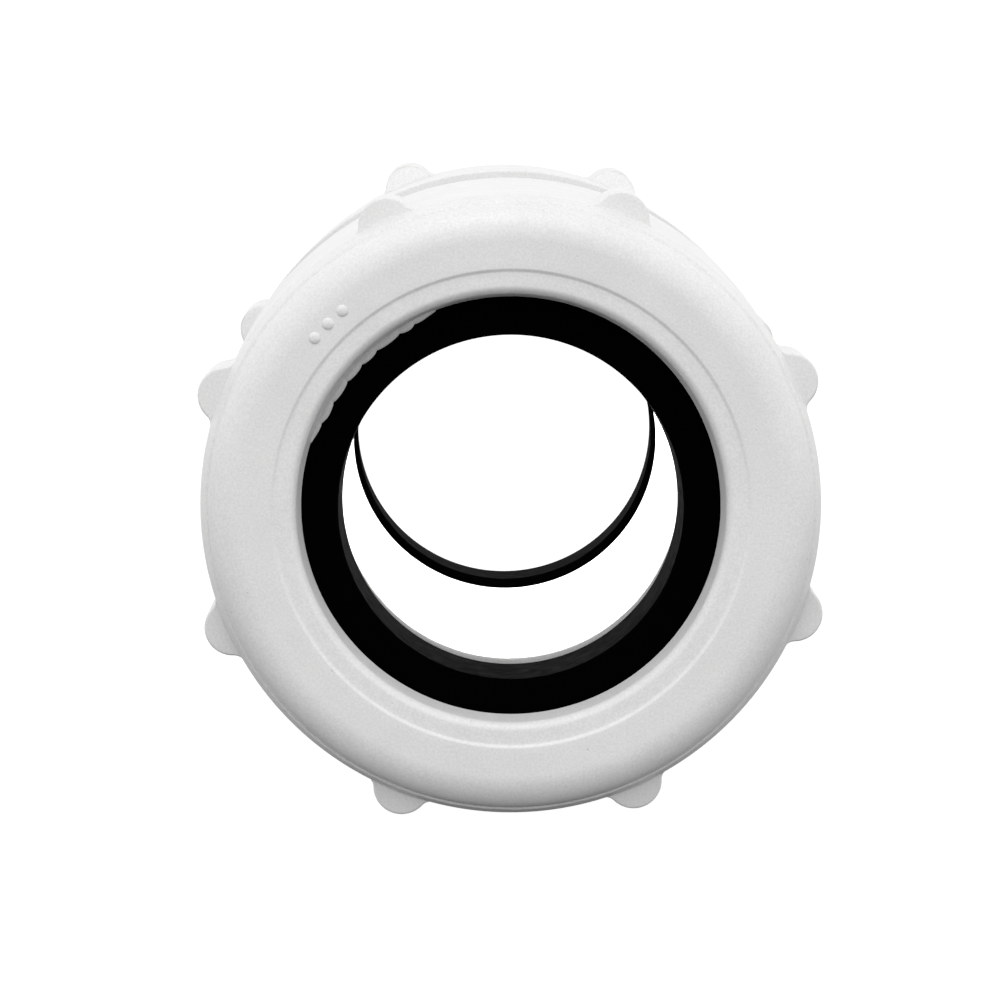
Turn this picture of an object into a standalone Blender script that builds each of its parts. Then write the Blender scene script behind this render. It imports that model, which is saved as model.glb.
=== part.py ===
"""Two-ended compression coupling for 1 in plastic pipe, modelled in Blender 4.5.

The coupling is a straight tube body with a coarse outside thread at each end.
On each end sits a lugged nut, and between the nut's lip and the body's conical
seat sits a tapered rubber gasket with a hole that the pipe slides through.

Frame: the bore's axis is Y, the origin is its middle, and +Z is up. Each end is
modelled in an end frame of its own whose +Z points out of that end, so a point's
height there is half the length less its depth behind the nut's front face.
"""

import math

import bmesh
import bpy
from mathutils import Matrix

# ---------------------------------------------------------------- driving sizes
LENGTH = 0.106                  # front face of one nut to front face of the other
PIPE_RADIUS = 0.0167            # the pipe that the coupling joins, 33.4 mm outside
THREAD_PITCH = 0.005            # right-hand, both ends
SEGMENTS = 32                   # facets round every turned piece

HALF_LENGTH = LENGTH / 2

# Nut: depths run back from its front face.
NUT_LENGTH = 0.041
LIP_THICKNESS = 0.0039
LIP_BORE_RADIUS = 0.02062
LIP_BORE_DRAFT = 0.0004
LIP_ROUND_DEPTH = 0.0012
FACE_RECESS = 0.0002            # the ring next to the lip lies this far back
RECESS_INNER_RADIUS = 0.0219
RECESS_OUTER_RADIUS = 0.02315
FACE_INNER_RADIUS = 0.0236
FACE_OUTER_RADIUS = 0.0266
SHOULDER_RADIUS = 0.02975
SHOULDER_DEPTH = 0.0018
COLLAR_RADIUS = 0.0306
COLLAR_DEPTH = 0.0046
RIM_RADIUS = 0.03105
RIM_CHAMFER = 0.0004
NUT_INSIDE_RADIUS = 0.0266
NUT_LEAD_IN = 0.0008
ROUND_STEPS = 4                 # facets across a rounded edge

# Lugs on the nut, seen as half-round ribs from the front.
LUG_COUNT = 8
LUG_CLOCKING = math.radians(23.9)
LUG_RADIUS = 0.0028
LUG_REAR_RADIUS = 0.00275
LUG_CENTRE_RADIUS = 0.03006
LUG_FRONT_DEPTH = 0.0050
LUG_REAR_DEPTH = 0.016
LUG_RUN_OUT = 0.6               # slope of the lug's rear end, depth per height
LUG_SIDES = 16

# Body.
BORE_RADIUS = PIPE_RADIUS + 0.0005
MOUTH_DEPTH = 0.0075
MOUTH_RADIUS = 0.0226
SEAT_TAPER = 0.2                # radius lost per length along the conical seat
SEAT_END_DEPTH = 0.0205
THREAD_ROOT_RADIUS = 0.0248
THREAD_ROOT_END_DEPTH = 0.042
BARREL_RADIUS = 0.022
BARREL_START_DEPTH = 0.044
EDGE_CHAMFER = 0.0004

# Thread ridges: width along the axis at the root and at the crest.
RIDGE_SLOPE = 1.6 / 1.4         # width lost per height, both flanks together
RIDGE_SUNK = 0.0004             # how far a ridge reaches into its own wall
BODY_CREST_RADIUS = 0.0262
BODY_CREST_WIDTH = 0.0016
BODY_THREAD_TURNS = 6
BODY_THREAD_LAST_DEPTH = 0.0399
NUT_CREST_RADIUS = 0.0252
NUT_CREST_WIDTH = 0.0015
NUT_THREAD_TURNS = 3
NUT_THREAD_LAST_DEPTH = BODY_THREAD_LAST_DEPTH - THREAD_PITCH / 2

# Gasket: it lies just behind the lip and about 1 mm clear of the body's seat.
GASKET_FRONT_DEPTH = LIP_THICKNESS + 0.0003
GASKET_LENGTH = 0.0105
GASKET_OUTER_RADIUS = 0.0223
GASKET_INNER_FRONT_RADIUS = 0.01702
GASKET_INNER_REAR_RADIUS = 0.01679
GASKET_EDGE = 0.0003

# Materials: colour, roughness, metallic.
WHITE_PVC = ((0.80, 0.80, 0.79), 0.42, 0.0)
BLACK_RUBBER = ((0.012, 0.012, 0.013), 0.60, 0.0)

# End frames: +Z of an end frame points out of that end of the coupling.
FRONT_END = Matrix.Rotation(math.pi / 2, 4, 'X')
REAR_END = Matrix.Rotation(math.pi, 4, 'Z') @ FRONT_END
SWAP_ENDS = Matrix.Rotation(math.pi, 4, 'Y')


# ---------------------------------------------------------------- scene set-up
def clear_scene():
    """Remove every object that the file opened with."""
    for thing in list(bpy.data.objects):
        bpy.data.objects.remove(thing, do_unlink=True)


def new_collection(name):
    """Make a collection and link it to the scene."""
    group = bpy.data.collections.new(name)
    bpy.context.scene.collection.children.link(group)
    return group


def new_material(name, look):
    """A plain Principled material from (colour, roughness, metallic)."""
    colour, roughness, metallic = look
    material = bpy.data.materials.new(name)
    material.use_nodes = True
    shader = material.node_tree.nodes["Principled BSDF"]
    shader.inputs["Base Color"].default_value = (*colour, 1.0)
    shader.inputs["Roughness"].default_value = roughness
    shader.inputs["Metallic"].default_value = metallic
    return material


# ---------------------------------------------------------------- shape helpers
def height(depth):
    """Height in an end frame of a point this deep behind the nut's face."""
    return HALF_LENGTH - depth


def quarter_round(start, end, bulges_out):
    """Points of a quarter ellipse from start to end, both (radius, depth).

    With bulges_out the curve leaves start along the radius, otherwise along the depth.
    """
    points = []
    for step in range(ROUND_STEPS + 1):
        angle = math.pi / 2 * step / ROUND_STEPS
        early = math.sin(angle)
        late = 1 - math.cos(angle)
        along_radius, along_depth = (early, late) if bulges_out else (late, early)
        radius = start[0] + (end[0] - start[0]) * along_radius
        depth = start[1] + (end[1] - start[1]) * along_depth
        points.append((radius, depth))
    return points


def turned_blank(name, outline, turns=1, rise=0.0):
    """Turn a closed outline of (radius, height) points about Z with a Screw modifier."""
    bm = bmesh.new()
    corners = [bm.verts.new((radius, 0, level)) for radius, level in outline]
    for corner, following in zip(corners, corners[1:] + corners[:1]):
        bm.edges.new((corner, following))
    mesh = bpy.data.meshes.new(name)
    bm.to_mesh(mesh)
    bm.free()
    blank = bpy.data.objects.new(name, mesh)
    tools.objects.link(blank)
    screw = blank.modifiers.new("Turn", 'SCREW')
    screw.angle = 2 * math.pi * turns
    screw.screw_offset = rise
    screw.steps = SEGMENTS * turns
    screw.render_steps = screw.steps
    screw.use_merge_vertices = rise == 0
    screw.merge_threshold = 0.00001
    return blank


def baked_mesh(blank):
    """The mesh of an object with its modifiers, with any open end of a ridge capped."""
    bpy.context.view_layer.update()
    evaluated = blank.evaluated_get(bpy.context.evaluated_depsgraph_get())
    mesh = bpy.data.meshes.new_from_object(evaluated)
    bm = bmesh.new()
    bm.from_mesh(mesh)
    open_edges = [edge for edge in bm.edges if edge.is_boundary]
    bmesh.ops.holes_fill(bm, edges=open_edges)
    bm.to_mesh(mesh)
    bm.free()
    return mesh


def as_tool(name, mesh, turn_over=Matrix()):
    """An object that only shapes others: hidden in renders and drawn as a wire."""
    tool = bpy.data.objects.new(name, mesh)
    tool.matrix_world = turn_over
    tool.hide_render = True
    tool.display_type = 'WIRE'
    tools.objects.link(tool)
    return tool


def join_solid(blank, tool):
    """Join a tool's solid to a blank with a Boolean union."""
    union = blank.modifiers.new(tool.name, 'BOOLEAN')
    union.operation = 'UNION'
    union.solver = 'EXACT'
    union.object = tool


def add_part(name, mesh, material, end_frame):
    """Place a finished mesh as a named sub-part, smooth with sharp edges."""
    part = bpy.data.objects.new(name, mesh)
    part.matrix_world = end_frame
    mesh.materials.clear()
    mesh.materials.append(material)
    mesh.shade_smooth()
    mesh.set_sharp_from_angle(angle=math.radians(25))
    parts.objects.link(part)
    return part


# ---------------------------------------------------------------- thread ridges
def thread_ridge(name, wall_radius, crest_radius, crest_width, turns, last_depth):
    """A right-hand ridge, closed at both ends, that stands on a round wall.

    The wall is outside the crest for a nut, and inside it for the body. The ridge is
    turned by half a facet, so that its corners meet the middles of the wall's facets.
    """
    sunk = RIDGE_SUNK if wall_radius > crest_radius else -RIDGE_SUNK
    base_radius = wall_radius + sunk
    base_width = crest_width + RIDGE_SLOPE * abs(base_radius - crest_radius)
    outer, inner = (base_radius, base_width), (crest_radius, crest_width)
    if crest_radius > base_radius:
        outer, inner = inner, outer
    middle = height(last_depth)
    outline = [
        (outer[0], middle + outer[1] / 2),
        (outer[0], middle - outer[1] / 2),
        (inner[0], middle - inner[1] / 2),
        (inner[0], middle + inner[1] / 2),
    ]
    blank = turned_blank(name, outline, turns, THREAD_PITCH * turns)
    mesh = baked_mesh(blank)
    mesh.transform(Matrix.Rotation(math.pi / SEGMENTS, 4, 'Z'))
    bpy.data.objects.remove(blank, do_unlink=True)
    return mesh


# ---------------------------------------------------------------- sub-parts
def nut_outline():
    """Outline of the nut, from its front face down the outside and up the inside."""
    points = [(FACE_INNER_RADIUS, 0.0)]
    points += quarter_round((FACE_OUTER_RADIUS, 0.0), (SHOULDER_RADIUS, SHOULDER_DEPTH), True)
    points += [
        (COLLAR_RADIUS, COLLAR_DEPTH),
        (RIM_RADIUS, NUT_LENGTH - RIM_CHAMFER),
        (RIM_RADIUS - RIM_CHAMFER, NUT_LENGTH),
        (NUT_INSIDE_RADIUS + NUT_LEAD_IN, NUT_LENGTH),
        (NUT_INSIDE_RADIUS, NUT_LENGTH - NUT_LEAD_IN),
        (NUT_INSIDE_RADIUS, LIP_THICKNESS),
        (LIP_BORE_RADIUS, LIP_THICKNESS),
    ]
    lip_edge = (LIP_BORE_RADIUS + LIP_BORE_DRAFT, LIP_ROUND_DEPTH)
    points += quarter_round(lip_edge, (RECESS_INNER_RADIUS, FACE_RECESS), False)
    points.append((RECESS_OUTER_RADIUS, FACE_RECESS))
    return [(radius, height(depth)) for radius, depth in points]


def lug_mesh():
    """The ring of lugs: drafted round ribs whose rear ends slope down to the skirt."""
    bm = bmesh.new()
    length = LUG_REAR_DEPTH - LUG_FRONT_DEPTH
    middle = height((LUG_FRONT_DEPTH + LUG_REAR_DEPTH) / 2)
    for index in range(LUG_COUNT):
        angle = LUG_CLOCKING + 2 * math.pi * index / LUG_COUNT
        place = Matrix.Rotation(angle, 4, 'Z') @ Matrix.Translation((LUG_CENTRE_RADIUS, 0, middle))
        lug = bmesh.ops.create_cone(
            bm,
            cap_ends=True,
            segments=LUG_SIDES,
            radius1=LUG_REAR_RADIUS,
            radius2=LUG_RADIUS,
            depth=length,
        )
        for vert in lug["verts"]:
            if vert.co.z < 0:
                vert.co.z -= LUG_RUN_OUT * (LUG_REAR_RADIUS - vert.co.x)
        bmesh.ops.transform(bm, matrix=place, verts=lug["verts"])
    mesh = bpy.data.meshes.new("lugs")
    bm.to_mesh(mesh)
    bm.free()
    return mesh


def nut_mesh():
    """The nut: a turned shell with its lugs and its inside thread."""
    blank = turned_blank("nut_blank", nut_outline())
    join_solid(blank, as_tool("nut_lugs", lug_mesh()))
    ridge = thread_ridge(
        "nut_ridge",
        NUT_INSIDE_RADIUS,
        NUT_CREST_RADIUS,
        NUT_CREST_WIDTH,
        NUT_THREAD_TURNS,
        NUT_THREAD_LAST_DEPTH,
    )
    join_solid(blank, as_tool("nut_thread", ridge))
    mesh = baked_mesh(blank)
    bpy.data.objects.remove(blank, do_unlink=True)
    return mesh


def body_outline():
    """Outline of the whole body, made of one end and its mirror image."""
    seat_end_radius = MOUTH_RADIUS - SEAT_TAPER * (SEAT_END_DEPTH - MOUTH_DEPTH)
    outside = [
        (MOUTH_RADIUS + EDGE_CHAMFER, MOUTH_DEPTH),
        (THREAD_ROOT_RADIUS - EDGE_CHAMFER, MOUTH_DEPTH),
        (THREAD_ROOT_RADIUS, MOUTH_DEPTH + EDGE_CHAMFER),
        (THREAD_ROOT_RADIUS, THREAD_ROOT_END_DEPTH),
        (BARREL_RADIUS, BARREL_START_DEPTH),
    ]
    inside = [
        (BORE_RADIUS, SEAT_END_DEPTH + EDGE_CHAMFER),
        (BORE_RADIUS + EDGE_CHAMFER, SEAT_END_DEPTH),
        (seat_end_radius, SEAT_END_DEPTH),
        (MOUTH_RADIUS, MOUTH_DEPTH + EDGE_CHAMFER),
    ]
    outside = [(radius, height(depth)) for radius, depth in outside]
    inside = [(radius, height(depth)) for radius, depth in inside]
    other_outside = [(radius, -level) for radius, level in reversed(outside)]
    other_inside = [(radius, -level) for radius, level in reversed(inside)]
    return outside + other_outside + other_inside + inside


def body_mesh():
    """The body: a turned tube with an outside thread at each end."""
    blank = turned_blank("body_blank", body_outline())
    ridge = thread_ridge(
        "body_ridge",
        THREAD_ROOT_RADIUS,
        BODY_CREST_RADIUS,
        BODY_CREST_WIDTH,
        BODY_THREAD_TURNS,
        BODY_THREAD_LAST_DEPTH,
    )
    join_solid(blank, as_tool("front_thread", ridge))
    join_solid(blank, as_tool("rear_thread", ridge, SWAP_ENDS))
    mesh = baked_mesh(blank)
    bpy.data.objects.remove(blank, do_unlink=True)
    return mesh


def gasket_mesh():
    """The gasket: a ring that tapers at the same slope as the body's seat."""
    front = GASKET_FRONT_DEPTH
    rear = front + GASKET_LENGTH
    rear_outer_radius = GASKET_OUTER_RADIUS - SEAT_TAPER * GASKET_LENGTH
    outline = [
        (GASKET_INNER_FRONT_RADIUS + GASKET_EDGE, front),
        (GASKET_OUTER_RADIUS - GASKET_EDGE, front),
        (GASKET_OUTER_RADIUS, front + GASKET_EDGE),
        (rear_outer_radius, rear - GASKET_EDGE),
        (rear_outer_radius - GASKET_EDGE, rear),
        (GASKET_INNER_REAR_RADIUS + GASKET_EDGE, rear),
        (GASKET_INNER_REAR_RADIUS, rear - GASKET_EDGE),
        (GASKET_INNER_FRONT_RADIUS, front + GASKET_EDGE),
    ]
    blank = turned_blank("gasket_blank", [(radius, height(depth)) for radius, depth in outline])
    mesh = baked_mesh(blank)
    bpy.data.objects.remove(blank, do_unlink=True)
    return mesh


# ---------------------------------------------------------------- assembly
clear_scene()
parts = new_collection("compression_coupling")
tools = new_collection("shaping_tools")

body_plastic = new_material("body_plastic", WHITE_PVC)
nut_plastic = new_material("nut_plastic", WHITE_PVC)
gasket_rubber = new_material("gasket_rubber", BLACK_RUBBER)

nut_shape = nut_mesh()
gasket_shape = gasket_mesh()

add_part("body", body_mesh(), body_plastic, FRONT_END)
for end_name, end_frame in (("front", FRONT_END), ("rear", REAR_END)):
    add_part(end_name + "_nut", nut_shape, nut_plastic, end_frame)
    add_part(end_name + "_gasket", gasket_shape, gasket_rubber, end_frame)
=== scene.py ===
"""Looks of the compression coupling: smooth moulded nuts, threaded body and rubber gaskets.

Every piece is one closed skin over a grid: an outline of (radius, depth) points turned
round the bore's axis, with lugs, threads and rounded edges worked into the grid. Depths
run inwards from the front face of the nut at that end, in metres, as in the CAD frame.
"""

import math

import bmesh
import bpy
import numpy as np
from mathutils import Matrix, Vector


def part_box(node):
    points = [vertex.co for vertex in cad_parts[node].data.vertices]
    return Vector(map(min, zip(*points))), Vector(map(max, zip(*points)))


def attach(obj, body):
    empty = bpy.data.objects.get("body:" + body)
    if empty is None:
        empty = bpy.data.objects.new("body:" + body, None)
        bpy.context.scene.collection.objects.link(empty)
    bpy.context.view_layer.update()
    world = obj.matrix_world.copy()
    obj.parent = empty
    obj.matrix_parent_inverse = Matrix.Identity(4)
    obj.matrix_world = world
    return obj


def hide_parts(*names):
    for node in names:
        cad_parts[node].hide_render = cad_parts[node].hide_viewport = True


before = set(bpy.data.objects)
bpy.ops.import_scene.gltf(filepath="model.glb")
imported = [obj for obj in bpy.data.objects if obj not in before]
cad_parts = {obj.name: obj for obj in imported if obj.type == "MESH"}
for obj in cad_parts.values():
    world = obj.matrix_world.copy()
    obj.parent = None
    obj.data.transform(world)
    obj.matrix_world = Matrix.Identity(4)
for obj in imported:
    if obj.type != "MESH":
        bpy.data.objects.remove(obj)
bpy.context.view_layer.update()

# ---------------------------------------------------------------- sizes from the frame
NUT_LOW, NUT_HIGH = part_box("front_nut")
GASKET_LOW, GASKET_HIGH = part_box("front_gasket")
BODY_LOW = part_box("body")[0]
HALF_LENGTH = -NUT_LOW.y
NUT_LENGTH = NUT_HIGH.y - NUT_LOW.y
RIM_RADIUS = NUT_HIGH.x
GASKET_DEPTH = GASKET_LOW.y - NUT_LOW.y
GASKET_LENGTH = GASKET_HIGH.y - GASKET_LOW.y
GASKET_OUTER_RADIUS = GASKET_HIGH.x
MOUTH_DEPTH = BODY_LOW.y - NUT_LOW.y

# ---------------------------------------------------------------- nut
LIP_THICKNESS = 0.0039
LIP_BORE_RADIUS = 0.02062
LIP_EDGE_RADIUS = 0.02102
LIP_ROUND_DEPTH = 0.0012
FACE_RECESS = 0.00018
RECESS_INNER_RADIUS = 0.0219
RECESS_OUTER_RADIUS = 0.02315
FACE_INNER_RADIUS = 0.0236
FACE_OUTER_RADIUS = 0.0263
SHOULDER_RADIUS = 0.02975
SHOULDER_DEPTH = 0.0026
LEDGE_RADIUS = 0.03005           # small step at the foot of the shoulder
LEDGE_DEPTH = 0.0029
COLLAR_RADIUS = 0.0306
COLLAR_DEPTH = 0.0046
RIM_EDGE = 0.00018              # rounding of the rear rim's outer edge
NUT_INSIDE_RADIUS = 0.0266
NUT_LEAD_IN = 0.0008
NUT_CREST_RADIUS = 0.0252
NUT_CREST_WIDTH = 0.0015
NUT_THREAD_TURNS = 3
NUT_THREAD_START = 0.0205       # where the threaded part of the inside begins
THREAD_MARGIN = 0.0011          # of plain inside between the thread's rows and the rim

LUG_COUNT = 8
LUG_CLOCKING = math.radians(23.9)
LUG_CENTRE_RADIUS = 0.03006
LUG_RADIUS = 0.0028
LUG_REAR_RADIUS = 0.00275
LUG_FRONT_DEPTH = 0.0050
LUG_REAR_DEPTH = 0.016
LUG_EDGE = 0.00022              # rounding round the lug's front face
LUG_FILLET = 0.0011             # hollow rounding where a lug meets the wall
LUG_RUN_OUT = 0.6               # depth per height of the slope at the lug's rear

# ---------------------------------------------------------------- body and gasket
THREAD_PITCH = 0.005
BODY_CREST_RADIUS = 0.0262
BODY_CREST_WIDTH = 0.0016
BODY_THREAD_TURNS = 6
BODY_THREAD_LAST_DEPTH = 0.0399
RIDGE_SLOPE = 1.6 / 1.4         # both flanks' width per height of the thread
THREAD_FADE = 0.06              # turns over which a ridge rises at its ends
THREAD_CLOCKING = 0.5 / 32      # turns from +X to where a ridge starts
BORE_RADIUS = 0.0172
MOUTH_RADIUS = 0.0226
SEAT_TAPER = 0.2
SEAT_END_DEPTH = 0.0205
OUTSIDE_RADIUS = 0.0235         # what lies further out is the body's outside
THREAD_ROOT_RADIUS = 0.0248
THREAD_ROOT_END_DEPTH = 0.042
BARREL_RADIUS = 0.022
BARREL_START_DEPTH = 0.044
GASKET_HOLE_FRONT_RADIUS = 0.01702
GASKET_HOLE_REAR_RADIUS = 0.01679
GASKET_DROP = 0.0002            # the loose front gasket has sunk a little

# ---------------------------------------------------------------- fineness of the meshes
ARC_STEP = math.radians(11)     # turn per facet across a rounded edge
PLAIN_COLUMNS = 10              # columns between two lugs, on each half of a sector
FILLET_COLUMNS = 7
LUG_COLUMNS = 10
ROUND_COLUMNS = 224             # columns of the body and the gaskets
THREAD_ROW = 0.00025            # distance between rows along the body's threads
NUT_THREAD_ROW = 0.0003
SKIRT_DEPTHS = (0.0185, 0.0198, 0.0215, 0.024, 0.027, 0.030, 0.033, 0.036, 0.0385)
SHOULDER_ROWS = 22
LIP_ROWS = 12
STEP_ROWS = 10


# ---------------------------------------------------------------- outline helpers
def rounded(corners):
    """Points of a closed outline whose (radius, depth, rounding) corners become arcs."""
    points = []
    count = len(corners)
    for index, (radius, depth, rounding) in enumerate(corners):
        corner = np.array((radius, depth))
        if rounding == 0:
            points.append(corner)
            continue
        before = np.array(corners[index - 1][:2]) - corner
        after = np.array(corners[(index + 1) % count][:2]) - corner
        room = min(np.linalg.norm(before), np.linalg.norm(after))
        before = before / np.linalg.norm(before)
        after = after / np.linalg.norm(after)
        opening = math.acos(float(np.clip(before @ after, -1, 1)))
        reach = min(rounding / math.tan(opening / 2), 0.48 * room)
        arc_radius = reach * math.tan(opening / 2)
        middle = (before + after) / np.linalg.norm(before + after)
        centre = corner + middle * arc_radius / math.sin(opening / 2)
        start = corner + before * reach - centre
        end = corner + after * reach - centre
        turn = math.pi - opening
        steps = max(2, math.ceil(turn / ARC_STEP))
        for step in range(steps + 1):
            share = step / steps
            blend = (math.sin((1 - share) * turn) * start + math.sin(share * turn) * end)
            points.append(centre + blend / math.sin(turn))
    return [(float(radius), float(depth)) for radius, depth in points]


def between(start, end, pieces):
    """The points that divide the line from start to end evenly, without its two ends."""
    points = []
    for step in range(1, pieces):
        share = step / pieces
        radius = start[0] + (end[0] - start[0]) * share
        depth = start[1] + (end[1] - start[1]) * share
        points.append((radius, depth))
    return points


def divided(points, longest):
    """The same closed outline with every run longer than that split evenly."""
    result = []
    for start, end in zip(points, points[1:] + points[:1]):
        result.append(start)
        result += between(start, end, math.ceil(math.dist(start, end) / longest))
    return result


def quarter_ellipse(start, end, steps, along_radius_first):
    """Points from start to end, both (radius, depth), on a quarter of an ellipse."""
    points = []
    for step in range(steps + 1):
        angle = math.pi / 2 * step / steps
        early = math.sin(angle)
        late = 1 - math.cos(angle)
        along_radius, along_depth = (early, late) if along_radius_first else (late, early)
        radius = start[0] + (end[0] - start[0]) * along_radius
        depth = start[1] + (end[1] - start[1]) * along_depth
        points.append((radius, depth))
    return points


# ---------------------------------------------------------------- mesh helpers
def grid_points(angles, radii, depths):
    """World points of the front end from arrays of angle, radius and depth."""
    x = radii * np.cos(angles)
    y = depths - HALF_LENGTH
    z = radii * np.sin(angles)
    return np.stack([x, y, z], -1)


def turned(outline):
    """Grids of angle, radius and depth of an outline turned round the bore's axis."""
    around = np.arange(ROUND_COLUMNS) * 2 * np.pi / ROUND_COLUMNS
    angles = np.tile(around, (len(outline), 1))
    radii = np.repeat(np.array([radius for radius, depth in outline])[:, None], ROUND_COLUMNS, 1)
    depths = np.repeat(np.array([depth for radius, depth in outline])[:, None], ROUND_COLUMNS, 1)
    return angles, radii, depths


def ring_skin(name, points):
    """A mesh over a grid of points (rows, columns, 3) that closes on itself both ways."""
    rows, columns = points.shape[:2]
    index = np.arange(rows * columns).reshape(rows, columns)
    below = np.roll(index, -1, 0)
    beside = np.roll(index, -1, 1)
    across = np.roll(below, -1, 1)
    quads = np.stack([index, beside, across, below], -1).reshape(-1, 4)
    mesh = bpy.data.meshes.new(name)
    mesh.from_pydata(points.reshape(-1, 3).tolist(), [], quads.tolist())
    bm = bmesh.new()
    bm.from_mesh(mesh)
    bmesh.ops.recalc_face_normals(bm, faces=bm.faces)
    bm.to_mesh(mesh)
    bm.free()
    mesh.shade_smooth()
    return mesh


def add_piece(name, mesh, material, body, node=None, turned_round=False):
    """Show a mesh as a piece that rides on a body, and may stand for a CAD node."""
    piece = bpy.data.objects.new(name, mesh)
    bpy.context.scene.collection.objects.link(piece)
    mesh.materials.clear()
    mesh.materials.append(material)
    if turned_round:
        mesh.transform(Matrix.Rotation(math.pi, 4, 'Z'))
    even = piece.modifiers.new("Even shading", 'WEIGHTED_NORMAL')
    even.weight = 60
    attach(piece, body)
    if node:
        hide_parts(node)
    return piece


# ---------------------------------------------------------------- threads
def smooth_step(share):
    """A share, held within 0 to 1, eased at both ends."""
    share = np.clip(share, 0, 1)
    return share * share * (3 - 2 * share)


def ridge_height(angles, depths, crest, crest_width, turns, last_depth):
    """Height of a right-hand ridge over its wall, for arrays of angle and depth.

    The ridge's middle comes towards the front by one pitch per turn, from last_depth.
    """
    flank = crest * RIDGE_SLOPE / 2
    half_root = crest_width / 2 + flank
    share = np.mod(angles / (2 * np.pi) - THREAD_CLOCKING, 1.0)
    travelled = (last_depth - depths) / THREAD_PITCH
    winding = np.clip(np.round(travelled - share), 0, turns - 1)
    along = winding + share
    away = np.abs(travelled - along) * THREAD_PITCH
    rise = smooth_step((half_root - away) / flank)
    fade = smooth_step(np.minimum(along, turns - along) / THREAD_FADE)
    return crest * rise * fade


# ---------------------------------------------------------------- nut
def lug_half_section(wall_radius, lug_radius):
    """(angle from the lug, radius) of the points from midway between lugs to a lug's tip."""
    reach = lug_radius + LUG_FILLET
    hollow_radius = wall_radius + LUG_FILLET
    cosine = (LUG_CENTRE_RADIUS ** 2 + hollow_radius ** 2 - reach ** 2)
    cosine = cosine / (2 * LUG_CENTRE_RADIUS * hollow_radius)
    hollow_angle = math.acos(cosine)
    half_sector = math.pi / LUG_COUNT
    section = []
    for step in range(PLAIN_COLUMNS):
        share = step / PLAIN_COLUMNS
        section.append((half_sector + (hollow_angle - half_sector) * share, wall_radius))
    hollow = np.array((math.cos(hollow_angle), math.sin(hollow_angle))) * hollow_radius
    to_axis = -hollow / np.linalg.norm(hollow)
    to_lug = np.array((LUG_CENTRE_RADIUS, 0.0)) - hollow
    to_lug = to_lug / np.linalg.norm(to_lug)
    turn = math.acos(float(to_axis @ to_lug))
    for step in range(FILLET_COLUMNS):
        share = step / FILLET_COLUMNS
        blend = math.sin((1 - share) * turn) * to_axis + math.sin(share * turn) * to_lug
        point = hollow + LUG_FILLET * blend / math.sin(turn)
        section.append((math.atan2(point[1], point[0]), float(np.linalg.norm(point))))
    meeting = math.atan2(-to_lug[1], -to_lug[0])
    for step in range(LUG_COLUMNS + 1):
        angle = meeting * (1 - step / LUG_COLUMNS)
        x = LUG_CENTRE_RADIUS + lug_radius * math.cos(angle)
        y = lug_radius * math.sin(angle)
        section.append((math.atan2(y, x), math.hypot(x, y)))
    return np.array(section)


def lug_row(wall_radius, lug_radius):
    """Angles and radii of a whole row of the nut's outside, lugs included."""
    half = lug_half_section(wall_radius, lug_radius)
    other_half = half[-2:0:-1] * (-1, 1)
    sector = np.concatenate([half, other_half])
    angles = []
    radii = []
    for index in range(LUG_COUNT):
        middle = LUG_CLOCKING + 2 * math.pi * index / LUG_COUNT
        angles.append(middle - sector[:, 0])
        radii.append(sector[:, 1])
    return np.concatenate(angles), np.concatenate(radii)


def nut_wall_outline():
    """The nut's outside wall as rounded (radius, depth) points, shoulder to rim."""
    corners = [
        (SHOULDER_RADIUS, SHOULDER_DEPTH, 0),
        (SHOULDER_RADIUS, LEDGE_DEPTH - 0.0001, 0.00008),
        (LEDGE_RADIUS, LEDGE_DEPTH, 0.00015),
        (COLLAR_RADIUS, COLLAR_DEPTH, 0.0012),
        (RIM_RADIUS, NUT_LENGTH - RIM_EDGE, 0),
        (0.9 * RIM_RADIUS, NUT_LENGTH, 0),
    ]
    return rounded(corners)[:-1]


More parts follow.
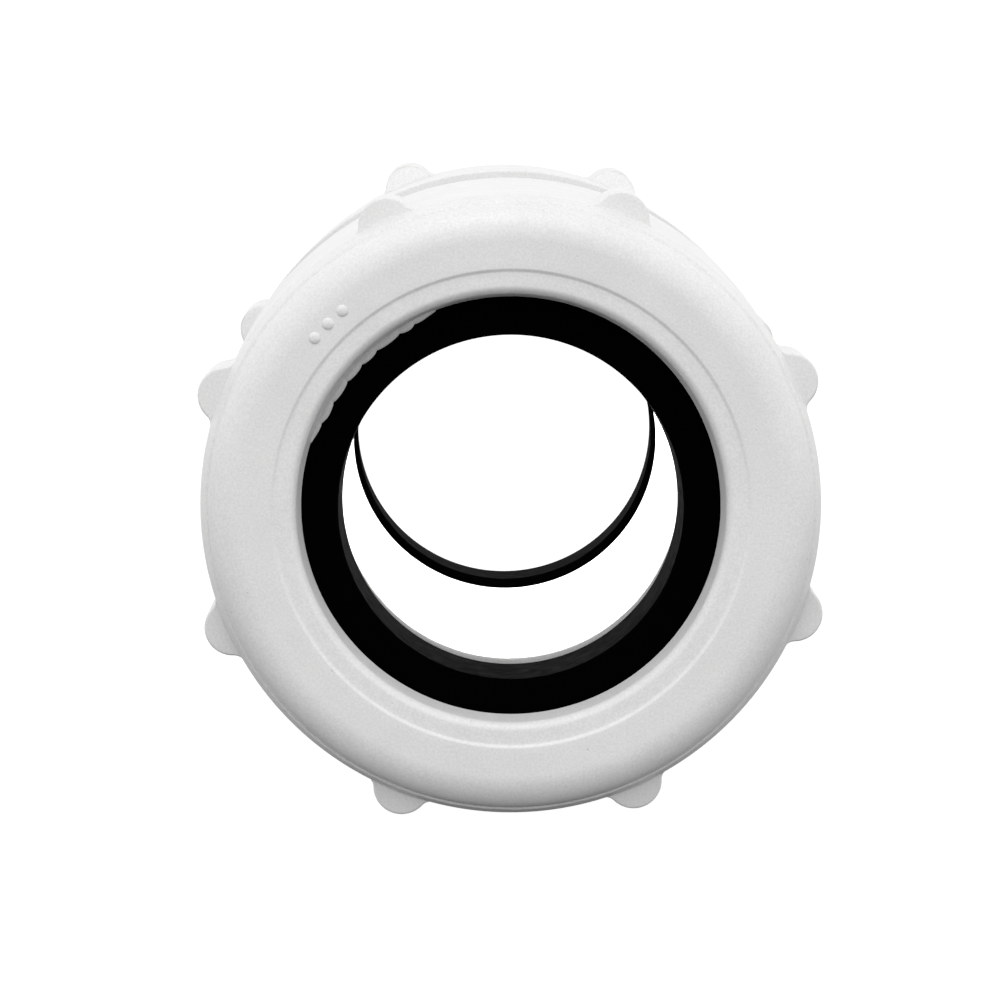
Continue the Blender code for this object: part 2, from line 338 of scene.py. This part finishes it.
def nut_points():
    """The nut's grid: face, shoulder, wall with lugs, rim, threaded inside and lip."""
    reference_angles = lug_row(COLLAR_RADIUS, LUG_RADIUS - LUG_EDGE)[0]
    rows = []

    def plain_row(radius, depth):
        rows.append((reference_angles, np.full_like(reference_angles, radius), depth))

    for share in (0.0, 0.25, 0.5, 0.75):
        plain_row(FACE_INNER_RADIUS + (FACE_OUTER_RADIUS - FACE_INNER_RADIUS) * share, 0.0)
    shoulder_start = (FACE_OUTER_RADIUS, 0.0)
    shoulder_end = (SHOULDER_RADIUS, SHOULDER_DEPTH)
    for radius, depth in quarter_ellipse(shoulder_start, shoulder_end, SHOULDER_ROWS, True):
        plain_row(radius, depth)

    wall = nut_wall_outline()
    wall_depths = [depth for radius, depth in wall]
    wall_radii = [radius for radius, depth in wall]

    def wall_radius(depth):
        return float(np.interp(depth, wall_depths, wall_radii))

    last_plain = LUG_FRONT_DEPTH - 0.0001
    before_lug = [depth for depth in wall_depths if SHOULDER_DEPTH < depth < last_plain]
    for depth in before_lug + [LUG_FRONT_DEPTH - 0.00003]:
        plain_row(wall_radius(depth), depth)

    front_radius = wall_radius(LUG_FRONT_DEPTH)
    plain_row(front_radius, LUG_FRONT_DEPTH)
    face_angles, face_radii = lug_row(front_radius, LUG_RADIUS - LUG_EDGE)
    for share in (0.12, 0.5, 0.9):
        angles = reference_angles + (face_angles - reference_angles) * share
        radii = front_radius + (face_radii - front_radius) * share
        rows.append((angles, radii, LUG_FRONT_DEPTH))

    depths = []
    for degrees in range(0, 91, 15):
        rounding = LUG_EDGE * (1 - math.cos(math.radians(degrees)))
        depths.append(LUG_FRONT_DEPTH + rounding)
    last_edge = depths[-1]
    depths += [depth for depth in wall_depths if last_edge < depth < LUG_REAR_DEPTH]
    depths += list(np.arange(LUG_FRONT_DEPTH + 0.001, LUG_REAR_DEPTH - 0.0005, 0.002))
    tip_at_rear = LUG_CENTRE_RADIUS + LUG_REAR_RADIUS
    run_out_end = LUG_REAR_DEPTH + LUG_RUN_OUT * (tip_at_rear - wall_radius(LUG_REAR_DEPTH))
    depths += list(np.linspace(LUG_REAR_DEPTH, run_out_end, 8))
    for depth in sorted(set(depths)):
        radius = wall_radius(depth)
        share = (depth - LUG_FRONT_DEPTH) / (LUG_REAR_DEPTH - LUG_FRONT_DEPTH)
        lug_radius = LUG_RADIUS + (LUG_REAR_RADIUS - LUG_RADIUS) * share
        short = min(max(0.0, last_edge - depth), LUG_EDGE)
        lug_radius -= LUG_EDGE - math.sqrt(LUG_EDGE ** 2 - short ** 2)
        angles, radii = lug_row(radius, lug_radius)
        if depth > LUG_REAR_DEPTH:
            cut = (depth - LUG_REAR_DEPTH) / (run_out_end - LUG_REAR_DEPTH)
            radii = np.minimum(radii, tip_at_rear + (radius - tip_at_rear) * cut)
        rows.append((angles, radii, depth))
    last_angles = rows[-1][0]

    for depth in SKIRT_DEPTHS:
        rows.append((last_angles, np.full_like(last_angles, wall_radius(depth)), depth))

    inside = rounded([
        (RIM_RADIUS - 0.00001, NUT_LENGTH - 0.002, 0),
        (RIM_RADIUS, NUT_LENGTH, RIM_EDGE),
        (NUT_INSIDE_RADIUS + NUT_LEAD_IN, NUT_LENGTH, 0.0003),
        (NUT_INSIDE_RADIUS, NUT_LENGTH - NUT_LEAD_IN, 0.0004),
        (NUT_INSIDE_RADIUS, LIP_THICKNESS, 0.0006),
        (LIP_BORE_RADIUS, LIP_THICKNESS, 0.00012),
        (LIP_EDGE_RADIUS, LIP_ROUND_DEPTH, 0),
    ])
    thread_end = NUT_LENGTH - THREAD_MARGIN
    inside_depths = list(np.arange(thread_end, NUT_THREAD_START, -NUT_THREAD_ROW))
    inside_depths += list(np.arange(0.018, 0.005, -0.003))
    spaced = []
    for start, end in zip(inside, inside[1:]):
        spaced.append(start)
        run = math.dist(start, end)
        if run > 0.02:
            spaced += [(NUT_INSIDE_RADIUS, depth) for depth in inside_depths]
        elif run > 0.002:
            spaced += between(start, end, math.ceil(run / 0.001))
    lip_edge = (LIP_EDGE_RADIUS, LIP_ROUND_DEPTH)
    spaced += quarter_ellipse(lip_edge, (RECESS_INNER_RADIUS, FACE_RECESS), LIP_ROWS, False)
    spaced.append((0.5 * (RECESS_INNER_RADIUS + RECESS_OUTER_RADIUS), FACE_RECESS))
    for step in range(STEP_ROWS):
        share = step / STEP_ROWS
        radius = RECESS_OUTER_RADIUS + (FACE_INNER_RADIUS - RECESS_OUTER_RADIUS) * share
        spaced.append((radius, FACE_RECESS * (1 + math.cos(math.pi * share)) / 2))
    for radius, depth in spaced:
        height = ridge_height(
            last_angles,
            depth,
            NUT_INSIDE_RADIUS - NUT_CREST_RADIUS,
            NUT_CREST_WIDTH,
            NUT_THREAD_TURNS,
            BODY_THREAD_LAST_DEPTH - THREAD_PITCH / 2,
        )
        on_wall = NUT_INSIDE_RADIUS - 0.0001 < radius < NUT_INSIDE_RADIUS + 0.0001
        rows.append((last_angles, radius - height * on_wall, depth))

    angles = np.array([row[0] for row in rows])
    radii = np.array([row[1] for row in rows])
    depths = np.array([np.full_like(row[0], row[2]) for row in rows])
    return grid_points(angles, radii, depths)


# ---------------------------------------------------------------- body
def body_points():
    """The body's grid: outside with both threads, and inside with both seats."""
    seat_end_radius = MOUTH_RADIUS - SEAT_TAPER * (SEAT_END_DEPTH - MOUTH_DEPTH)
    half = [
        (BORE_RADIUS, SEAT_END_DEPTH, 0.0003),
        (seat_end_radius, SEAT_END_DEPTH, 0.0002),
        (MOUTH_RADIUS, MOUTH_DEPTH, 0.0004),
        (THREAD_ROOT_RADIUS, MOUTH_DEPTH, 0.0004),
        (THREAD_ROOT_RADIUS, THREAD_ROOT_END_DEPTH, 0.0012),
        (BARREL_RADIUS, BARREL_START_DEPTH, 0.0012),
    ]
    other_half = []
    for radius, depth, edge in reversed(half):
        other_half.append((radius, 2 * HALF_LENGTH - depth, edge))
    outline = divided(rounded(half + other_half), 0.002)
    fine = []
    for start, end in zip(outline, outline[1:] + outline[:1]):
        fine.append(start)
        end_depth = min(start[1], 2 * HALF_LENGTH - start[1])
        outside = min(start[0], end[0]) > OUTSIDE_RADIUS
        if outside and end_depth < THREAD_ROOT_END_DEPTH:
            fine += between(start, end, math.ceil(abs(end[1] - start[1]) / THREAD_ROW))
    angles, radii, depths = turned(fine)
    from_rear = depths > HALF_LENGTH
    end_angles = np.where(from_rear, np.pi - angles, angles)
    end_depths = np.where(from_rear, 2 * HALF_LENGTH - depths, depths)
    height = ridge_height(
        end_angles,
        end_depths,
        BODY_CREST_RADIUS - THREAD_ROOT_RADIUS,
        BODY_CREST_WIDTH,
        BODY_THREAD_TURNS,
        BODY_THREAD_LAST_DEPTH,
    )
    on_wall = np.abs(radii - THREAD_ROOT_RADIUS) < 0.0001
    return grid_points(angles, radii + height * on_wall, depths)


# ---------------------------------------------------------------- gasket
def gasket_points():
    """The gasket's grid: a tapered ring with rounded edges."""
    front = GASKET_DEPTH
    rear = GASKET_DEPTH + GASKET_LENGTH
    rear_outer_radius = GASKET_OUTER_RADIUS - SEAT_TAPER * GASKET_LENGTH
    outline = divided(rounded([
        (GASKET_HOLE_FRONT_RADIUS, front, 0.0002),
        (GASKET_OUTER_RADIUS, front, 0.0003),
        (rear_outer_radius, rear, 0.0003),
        (GASKET_HOLE_REAR_RADIUS, rear, 0.0002),
    ]), 0.0012)
    return grid_points(*turned(outline))


# ---------------------------------------------------------------- moulding marks
def flash_mesh():
    """The thin scalloped web of plastic left behind the front lip, at the upper left."""
    widths = (6.8, 4.8, 8.0, 5.7, 6.2, 7.0, 6.8, 5.9)      # of the scallops, in degrees
    first = math.radians(111.0)
    edges = first + np.radians(np.concatenate([[0.0], np.cumsum(widths)]))
    samples = np.linspace(edges[0], edges[-1], 180)
    shares = (samples - edges[0]) / (edges[-1] - edges[0])
    inner = np.empty_like(samples)
    for index, angle in enumerate(samples):
        span = int(np.clip(np.searchsorted(edges, angle) - 1, 0, len(widths) - 1))
        across = (angle - edges[span]) / (edges[span + 1] - edges[span])
        bulge = math.sqrt(max(0.0, 1 - (2 * across - 1) ** 2))
        ends = min(1.0, 5 * min(shares[index], 1 - shares[index]) + 0.2)
        inner[index] = LIP_BORE_RADIUS + 0.00002 - ends * (0.00036 + 0.00030 * bulge)
    outer = np.full_like(inner, LIP_BORE_RADIUS + 0.0003)
    front = LIP_THICKNESS - 0.0006
    back = LIP_THICKNESS - 0.00015
    strip = [
        (outer, front),
        (inner + 0.00008, front),
        (inner, front + 0.0001),
        (inner, back - 0.0001),
        (inner + 0.00008, back),
        (outer, back),
    ]
    lines = [grid_points(samples, radii, np.full_like(radii, depth)) for radii, depth in strip]
    sections = np.stack(lines, 1)
    bm = bmesh.new()
    verts = [[bm.verts.new(point) for point in section] for section in sections]
    for line, following in zip(verts, verts[1:]):
        for index in range(len(strip)):
            beside = (index + 1) % len(strip)
            bm.faces.new((line[index], line[beside], following[beside], following[index]))
    bm.faces.new(verts[0])
    bm.faces.new(reversed(verts[-1]))
    bmesh.ops.recalc_face_normals(bm, faces=bm.faces)
    mesh = bpy.data.meshes.new("flash")
    bm.to_mesh(mesh)
    bm.free()
    mesh.shade_smooth()
    return mesh


def mark_mesh():
    """Three low round pips on the nut's face, a plain mould mark."""
    pip_radius = 0.00062
    pip_height = 0.00022
    sunk = 0.0001
    mark_radius = 0.02545
    middle = math.radians(134.5)
    spacing = 0.0019 / mark_radius
    bm = bmesh.new()
    for index in (-1, 0, 1):
        angle = middle + index * spacing
        pip = bmesh.ops.create_uvsphere(bm, u_segments=32, v_segments=24, radius=1.0)
        x = mark_radius * math.cos(angle)
        z = mark_radius * math.sin(angle)
        spot = Vector((x, sunk - HALF_LENGTH, z))
        size = Matrix.Diagonal((pip_radius, pip_height + sunk, pip_radius, 1.0))
        bmesh.ops.transform(bm, matrix=Matrix.Translation(spot) @ size, verts=pip["verts"])
    mesh = bpy.data.meshes.new("mark")
    bm.to_mesh(mesh)
    bm.free()
    mesh.shade_smooth()
    return mesh


# ---------------------------------------------------------------- materials
CLEAR = (1.0, 1.0, 1.0)         # a colour that leaves what it multiplies as it is


def shader_of(name, roughness, specular):
    """A new Principled material and its node tree."""
    material = bpy.data.materials.new(name)
    material.use_nodes = True
    tree = material.node_tree
    shader = tree.nodes["Principled BSDF"]
    shader.inputs["Roughness"].default_value = roughness
    shader.inputs["Specular IOR Level"].default_value = specular
    return material, tree, shader


def noise(tree, scale, detail=2.0, roughness=0.5):
    """Noise over the object's own coordinates; scale is in features per metre."""
    coordinates = tree.nodes.new('ShaderNodeTexCoord')
    texture = tree.nodes.new('ShaderNodeTexNoise')
    texture.inputs["Scale"].default_value = scale
    texture.inputs["Detail"].default_value = detail
    texture.inputs["Roughness"].default_value = roughness
    tree.links.new(coordinates.outputs["Object"], texture.inputs["Vector"])
    return texture.outputs["Fac"]


def ramp(tree, value, stops):
    """A colour ramp over a value; stops are (position, colour)."""
    node = tree.nodes.new('ShaderNodeValToRGB')
    elements = node.color_ramp.elements
    while len(elements) < len(stops):
        elements.new(0.5)
    for element, (position, colour) in zip(elements, stops):
        element.position = position
        element.color = (*colour, 1.0)
    tree.links.new(value, node.inputs["Fac"])
    return node.outputs["Color"]


def remapped(tree, value, low, high):
    """The value's middle range spread from low to high."""
    node = tree.nodes.new('ShaderNodeMapRange')
    node.inputs["From Min"].default_value = 0.3
    node.inputs["From Max"].default_value = 0.7
    node.inputs["To Min"].default_value = low
    node.inputs["To Max"].default_value = high
    tree.links.new(value, node.inputs["Value"])
    return node.outputs["Result"]


def bump(tree, height, distance, strength, under=None):
    """A bump of that height in metres, over another bump's normal."""
    node = tree.nodes.new('ShaderNodeBump')
    node.inputs["Distance"].default_value = distance
    node.inputs["Strength"].default_value = strength
    tree.links.new(height, node.inputs["Height"])
    if under is not None:
        tree.links.new(under, node.inputs["Normal"])
    return node.outputs["Normal"]


def multiplied(tree, first, second):
    """Two colours multiplied."""
    node = tree.nodes.new('ShaderNodeMix')
    node.data_type = 'RGBA'
    node.blend_type = 'MULTIPLY'
    node.inputs["Factor"].default_value = 1.0
    tree.links.new(first, node.inputs[6])
    tree.links.new(second, node.inputs[7])
    return node.outputs[2]


def moulded_plastic(name, tint):
    """White PVC: faint clouding, fine mottling, rare dark specks, mould texture."""
    material, tree, shader = shader_of(name, 0.42, 0.4)
    clouded = tuple(channel * 0.965 for channel in tint)
    clouds = ramp(tree, noise(tree, 160, 3.0), [(0.35, clouded), (0.62, tint)])
    mottling = ramp(tree, noise(tree, 4000, 3.0, 0.7), [(0.36, (0.89, 0.89, 0.89)), (0.64, CLEAR)])
    dark_speck = (0.78, 0.77, 0.74)
    pale_speck = (0.80, 0.79, 0.76)
    speck_stops = [(0.0, dark_speck), (0.175, pale_speck), (0.20, CLEAR), (1.0, CLEAR)]
    specks = ramp(tree, noise(tree, 1500, 1.0), speck_stops)
    colour = multiplied(tree, multiplied(tree, clouds, mottling), specks)
    tree.links.new(colour, shader.inputs["Base Color"])
    tree.links.new(remapped(tree, noise(tree, 900, 3.0), 0.36, 0.50), shader.inputs["Roughness"])
    orange_peel = bump(tree, noise(tree, 700, 2.0), 0.00006, 0.5)
    grain = bump(tree, noise(tree, 5200, 3.0, 0.6), 0.00002, 0.6, orange_peel)
    tree.links.new(grain, shader.inputs["Normal"])
    return material


def black_rubber(name):
    """Moulded rubber: nearly black, dull, with a little dust and fine grain."""
    material, tree, shader = shader_of(name, 0.72, 0.006)
    dust_stops = [
        (0.0, (0.0003, 0.0003, 0.0003)),
        (0.76, (0.0005, 0.0005, 0.0005)),
        (0.82, (0.03, 0.03, 0.029)),
    ]
    dust = ramp(tree, noise(tree, 2600, 2.0, 0.7), dust_stops)
    tree.links.new(dust, shader.inputs["Base Color"])
    tree.links.new(remapped(tree, noise(tree, 800, 3.0), 0.64, 0.80), shader.inputs["Roughness"])
    grain = bump(tree, noise(tree, 3000, 3.0, 0.6), 0.00003, 0.6)
    tree.links.new(grain, shader.inputs["Normal"])
    return material


body_plastic = moulded_plastic("body_plastic", (0.80, 0.80, 0.79))
nut_plastic = moulded_plastic("nut_plastic", (0.80, 0.80, 0.795))
flash_plastic_painted_shade = moulded_plastic("flash_plastic_painted_shade", (0.60, 0.60, 0.595))     # thin, black behind; the darker tint is painted shade, for the lip's shadow over the web and the black rubber seen through it
gasket_rubber = black_rubber("gasket_rubber")


# ---------------------------------------------------------------- pieces
nut_grid = nut_points()
gasket_grid = gasket_points()
body_mesh = ring_skin("body_tube", body_points())
add_piece("body_tube", body_mesh, body_plastic, "body", "body")
for end in ("front", "rear"):
    rear = end == "rear"
    nut = end + "_nut"
    gasket = end + "_gasket"
    nut_mesh = ring_skin(nut + "_shell", nut_grid)
    add_piece(nut + "_shell", nut_mesh, nut_plastic, nut, nut, rear)
    add_piece(nut + "_mark", mark_mesh(), nut_plastic, nut, None, rear)
    drop = 0.0 if rear else GASKET_DROP
    gasket_mesh = ring_skin(gasket + "_ring", gasket_grid - np.array((0.0, 0.0, drop)))
    add_piece(gasket + "_ring", gasket_mesh, gasket_rubber, gasket, gasket, rear)
add_piece("front_nut_flash", flash_mesh(), flash_plastic_painted_shade, "front_nut")


# ---------------------------------------------------------------- camera
CAMERA_DISTANCE = 0.510         # from the middle of the front face
CAMERA_ELEVATION = math.radians(5.5)
CAMERA_SIDE = math.radians(0.5)
AIM_LEFT = 0.0011
AIM_UP = 0.00094
SENSOR_WIDTH = 36.0
LENS = 188.0

face_centre = Vector((0.0, -HALF_LENGTH, 0.0))
camera_offset = Vector((
    -math.sin(CAMERA_SIDE) * math.cos(CAMERA_ELEVATION),
    -math.cos(CAMERA_SIDE) * math.cos(CAMERA_ELEVATION),
    math.sin(CAMERA_ELEVATION),
)) * CAMERA_DISTANCE


def aimed(thing, target):
    """Turn a camera or light, which look along their own -Z, towards a point."""
    thing.rotation_euler = (Vector(target) - thing.location).to_track_quat('-Z', 'Y').to_euler()


camera_data = bpy.data.cameras.new("camera")
camera_data.sensor_width = SENSOR_WIDTH
camera_data.lens = LENS
camera = bpy.data.objects.new("camera", camera_data)
camera.location = face_centre + camera_offset
aimed(camera, face_centre + Vector((-AIM_LEFT, 0.0, AIM_UP)))
bpy.context.scene.collection.objects.link(camera)
bpy.context.scene.camera = camera


# ---------------------------------------------------------------- lights and stage
def soft_light(name, place, size, power):
    """A round soft box aimed at the middle of the object."""
    data = bpy.data.lights.new(name, 'AREA')
    data.shape = 'DISK'
    data.size = size
    data.energy = power
    light = bpy.data.objects.new(name, data)
    light.location = place
    light.visible_camera = False
    aimed(light, (0.0, 0.0, 0.0))
    bpy.context.scene.collection.objects.link(light)
    return light


KEY_ELEVATION = math.radians(62)
key_place = (0.0, -math.cos(KEY_ELEVATION), math.sin(KEY_ELEVATION))
soft_light("key_box", key_place, 0.6, 3.1)

# A small light at the rear end of the bore, for the body alone, shows the bore white.
bore_light = soft_light("bore_box", (0.0, HALF_LENGTH - SEAT_END_DEPTH, 0.0), 0.032, 0.03)
lit_by_bore_box = bpy.data.collections.new("lit_by_bore_box")
lit_by_bore_box.objects.link(bpy.data.objects["body_tube"])
bore_light.light_linking.receiver_collection = lit_by_bore_box

# The light tent's brightness follows the height h of the direction, the sine of its elevation:
# TENT_LEVEL + h * (TENT_RISE + TENT_CURVE * h), and never under nought.
TENT_LEVEL = 1.06
TENT_RISE = 0.84
TENT_CURVE = -1.44

world = bpy.data.worlds.new("studio")
world.use_nodes = True
bpy.context.scene.world = world
sky_tree = world.node_tree
sky_direction = sky_tree.nodes.new('ShaderNodeTexCoord')
sky_parts = sky_tree.nodes.new('ShaderNodeSeparateXYZ')
sky_slope = sky_tree.nodes.new('ShaderNodeMath')
sky_slope.operation = 'MULTIPLY_ADD'
sky_slope.inputs[1].default_value = TENT_CURVE
sky_slope.inputs[2].default_value = TENT_RISE
sky_level = sky_tree.nodes.new('ShaderNodeMath')
sky_level.operation = 'MULTIPLY_ADD'
sky_level.inputs[2].default_value = TENT_LEVEL
sky_least = sky_tree.nodes.new('ShaderNodeMath')
sky_least.operation = 'MAXIMUM'
sky_least.inputs[1].default_value = 0.0
sky = sky_tree.nodes["Background"]
sky.inputs["Color"].default_value = (1.0, 1.0, 1.0, 1.0)
sky_tree.links.new(sky_direction.outputs["Generated"], sky_parts.inputs["Vector"])
sky_tree.links.new(sky_parts.outputs["Z"], sky_slope.inputs[0])
sky_tree.links.new(sky_parts.outputs["Z"], sky_level.inputs[0])
sky_tree.links.new(sky_slope.outputs["Value"], sky_level.inputs[1])
sky_tree.links.new(sky_level.outputs["Value"], sky_least.inputs[0])
sky_tree.links.new(sky_least.outputs["Value"], sky.inputs["Strength"])


def add_stage(name, mesh, grey, roughness, specular, glow):
    """Show a mesh that only the camera sees, as a stage that glows evenly."""
    thing = bpy.data.objects.new(name, mesh)
    bpy.context.scene.collection.objects.link(thing)
    thing.visible_shadow = False
    thing.visible_diffuse = False
    thing.visible_glossy = False
    paint, _, shader = shader_of(name + "_paint", roughness, specular)
    shader.inputs["Base Color"].default_value = (grey, grey, grey, 1.0)
    shader.inputs["Emission Color"].default_value = (1.0, 1.0, 1.0, 1.0)
    shader.inputs["Emission Strength"].default_value = glow
    mesh.materials.append(paint)
    return thing


HALF_FLOOR = 30.0
floor_level = -(LUG_CENTRE_RADIUS + LUG_RADIUS)     # a lug that points down just clears it
floor_corners = []
for x, y in ((-1, -1), (1, -1), (1, 1), (-1, 1)):
    floor_corners.append((x * HALF_FLOOR, y * HALF_FLOOR, floor_level))
floor_mesh = bpy.data.meshes.new("floor")
floor_mesh.from_pydata(floor_corners, [], [(0, 1, 2, 3)])
floor = add_stage("floor", floor_mesh, 0.12, 0.9, 0.1, 0.97)

backdrop_mesh = bpy.data.meshes.new("backdrop")
bm = bmesh.new()
bmesh.ops.create_uvsphere(bm, u_segments=48, v_segments=24, radius=HALF_FLOOR)
bm.to_mesh(backdrop_mesh)
bm.free()
backdrop = add_stage("backdrop", backdrop_mesh, 0.0, 1.0, 0.0, 1.1)

bpy.context.scene.view_settings.view_transform = 'Standard'
